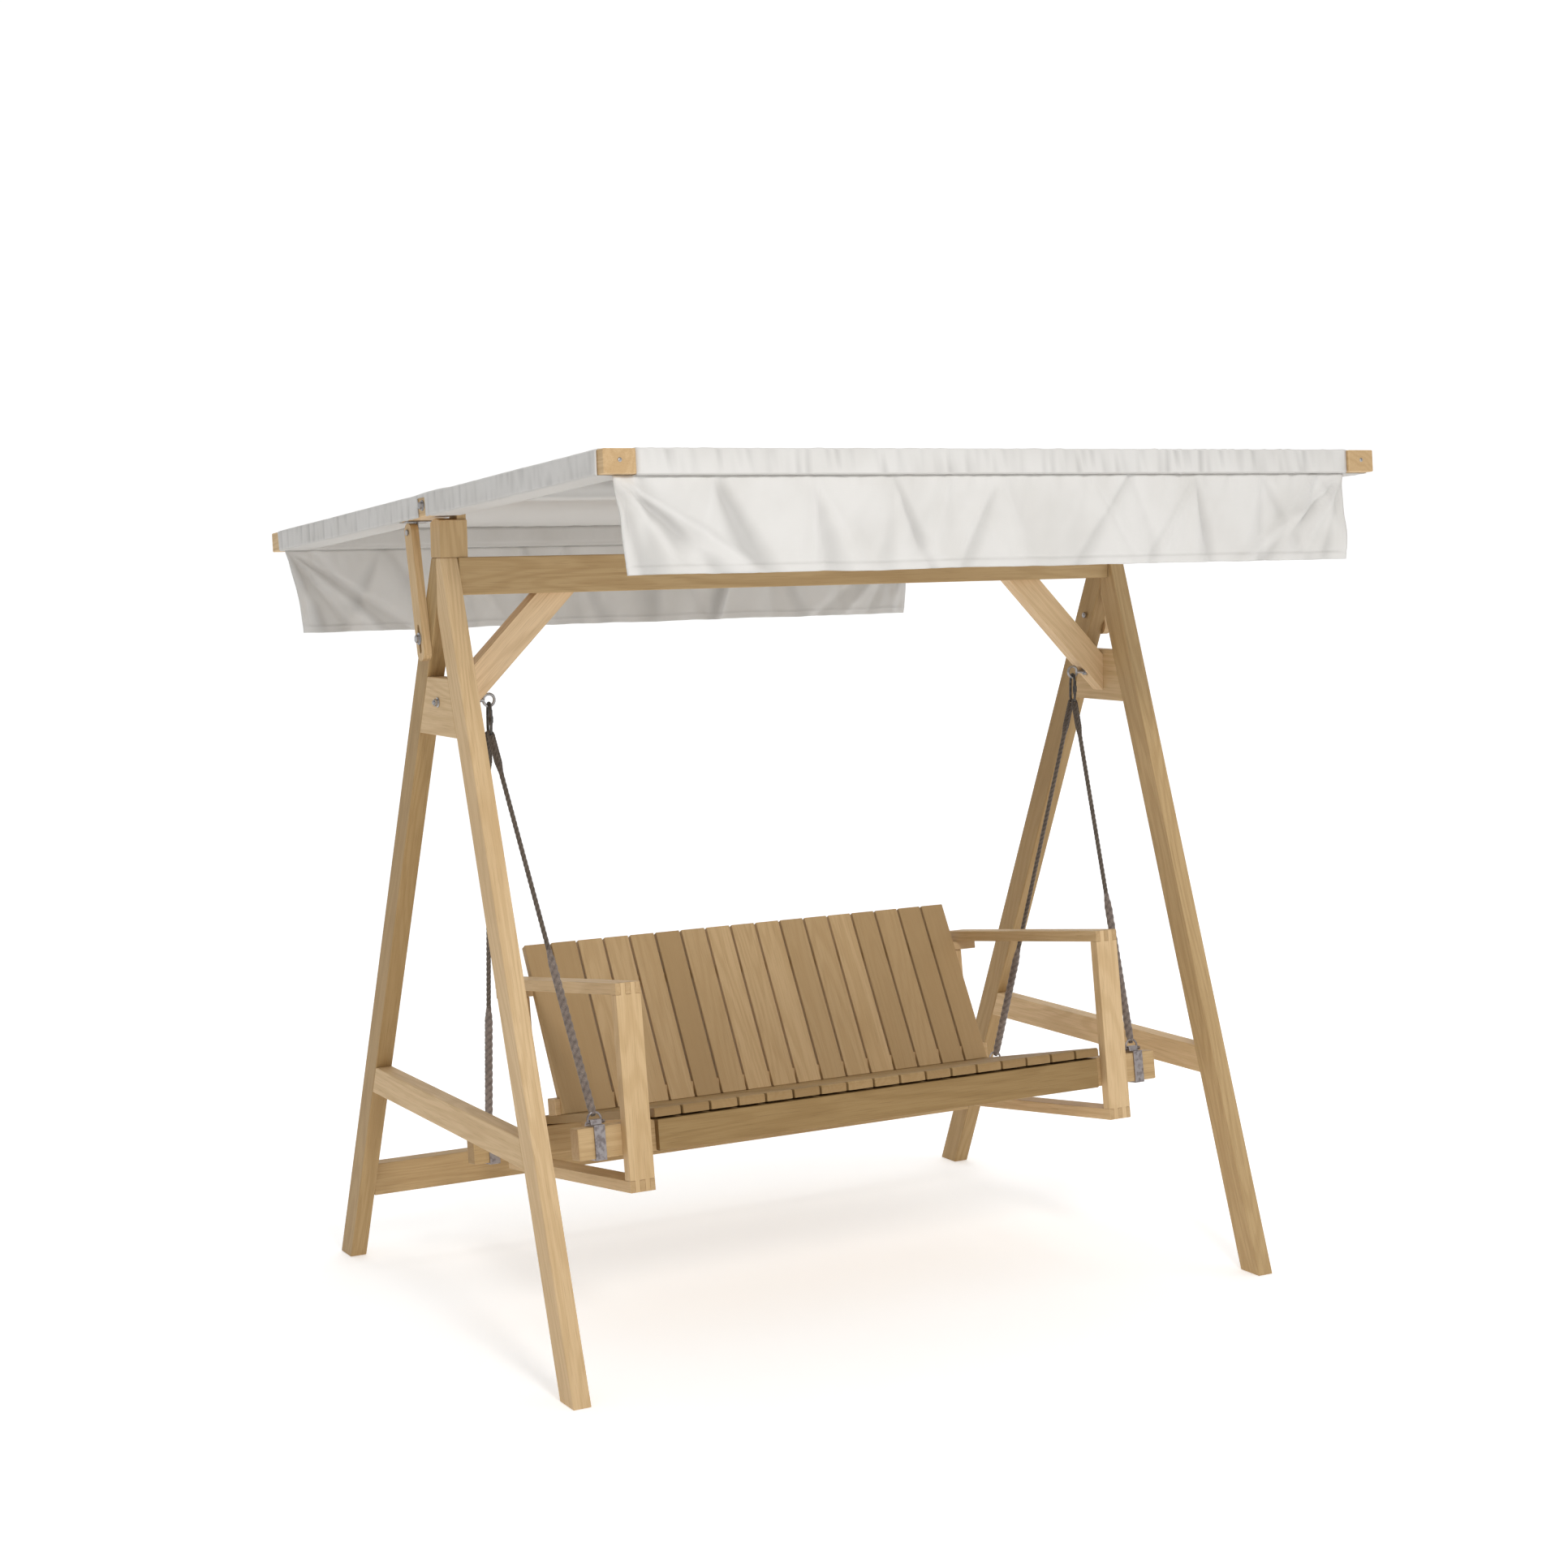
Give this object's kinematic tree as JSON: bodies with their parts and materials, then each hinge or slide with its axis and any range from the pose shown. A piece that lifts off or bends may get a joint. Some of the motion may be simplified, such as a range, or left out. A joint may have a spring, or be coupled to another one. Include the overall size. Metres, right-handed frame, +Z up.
{
  "type": "garden swing seat",
  "caption": "Timber garden swing: a slatted bench with arms, hung on ropes from eye bolts between A-frames, under a canvas canopy that tilts.",
  "frame": {"origin": "on the floor, under the middle of the canopy and midway between the A-frames", "axes": "+Z up, +X to the right of a person who stands in front and looks at the seat, -Y towards the front of the seat"},
  "size_m": [2.0786, 2.1479, 2.1225],
  "materials": {
    "timber": "oiled softwood, satin",
    "canvas": "woven canvas, matte",
    "rope": "laid rope, matte",
    "zinc_steel": "zinc plated, satin",
    "dark_steel": "dark coated, satin"
  },
  "bodies": {
    "frame": {"front_leg_left": "timber", "rear_leg_left": "timber", "tie_block_left": "timber", "side_rail_left": "timber", "knee_brace_left": "timber", "head_post_left": "timber", "eye_bolt_left": "zinc_steel", "eye_bolt_nut_left": "zinc_steel", "front_leg_right": "timber", "rear_leg_right": "timber", "tie_block_right": "timber", "side_rail_right": "timber", "knee_brace_right": "timber", "head_post_right": "timber", "eye_bolt_right": "zinc_steel", "eye_bolt_nut_right": "zinc_steel", "top_beam": "timber", "rear_stretcher": "timber", "strut_clamp_bolt_left": "zinc_steel", "strut_clamp_bolt_right": "zinc_steel"},
    "canopy": {"canopy_side_rail_left": "timber", "canopy_side_rail_right": "timber", "canopy_front_rail": "timber", "canopy_cross_rail": "timber", "canopy_rear_rail": "timber", "canopy_cover": "canvas", "front_valance": "canvas", "rear_valance": "canvas", "canopy_pivot_bolt_left": "zinc_steel", "canopy_pivot_bolt_right": "zinc_steel", "strut_bracket_left": "zinc_steel", "strut_bracket_right": "zinc_steel"},
    "strut_left": {"canopy_strut_left": "timber"},
    "strut_right": {"canopy_strut_right": "timber"},
    "seat": {"front_hanger_beam": "timber", "rear_hanger_beam": "timber", "seat_fascia": "timber", "seat_slats": "timber", "back_slats": "timber", "arm_front_board_left": "timber", "arm_top_board_left": "timber", "arm_bottom_board_left": "timber", "rear_arm_post_left": "timber", "arm_front_board_right": "timber", "arm_top_board_right": "timber", "arm_bottom_board_right": "timber", "rear_arm_post_right": "timber", "rope_hook_left": "dark_steel", "rope_hook_right": "dark_steel", "rope_strap_front_left": "zinc_steel", "rope_strap_rear_left": "zinc_steel", "rope_strap_front_right": "zinc_steel", "rope_strap_rear_right": "zinc_steel", "rope_front_left": "rope", "rope_rear_left": "rope", "rope_front_right": "rope", "rope_rear_right": "rope"}
  },
  "joints": [
    {"name": "canopy_tilt", "type": "hinge", "parent": "frame", "child": "canopy", "pos_m": [0, -0.065, 2.019], "axis": [1, 0, 0], "range_deg": [-10, 10]},
    {"name": "strut_left_pivot", "type": "hinge", "parent": "canopy", "child": "strut_left", "pos_m": [-1.0105, 0.06061, 1.95545], "axis": [1, 0, 0], "range_deg": [-11.5, 11.5]},
    {"name": "strut_right_pivot", "type": "hinge", "parent": "canopy", "child": "strut_right", "pos_m": [1.0105, 0.06061, 1.95545], "axis": [1, 0, 0], "range_deg": [-11.5, 11.5]},
    {"name": "seat_swing", "type": "hinge", "parent": "frame", "child": "seat", "pos_m": [0, -0.053, 1.5335], "axis": [1, 0, 0], "range_deg": [-25, 25]}
  ],
  "couplings": [
    {"joint": "strut_left_pivot", "follows": "canopy_tilt", "ratio": -1.14},
    {"joint": "strut_right_pivot", "follows": "canopy_tilt", "ratio": -1.14}
  ]
}
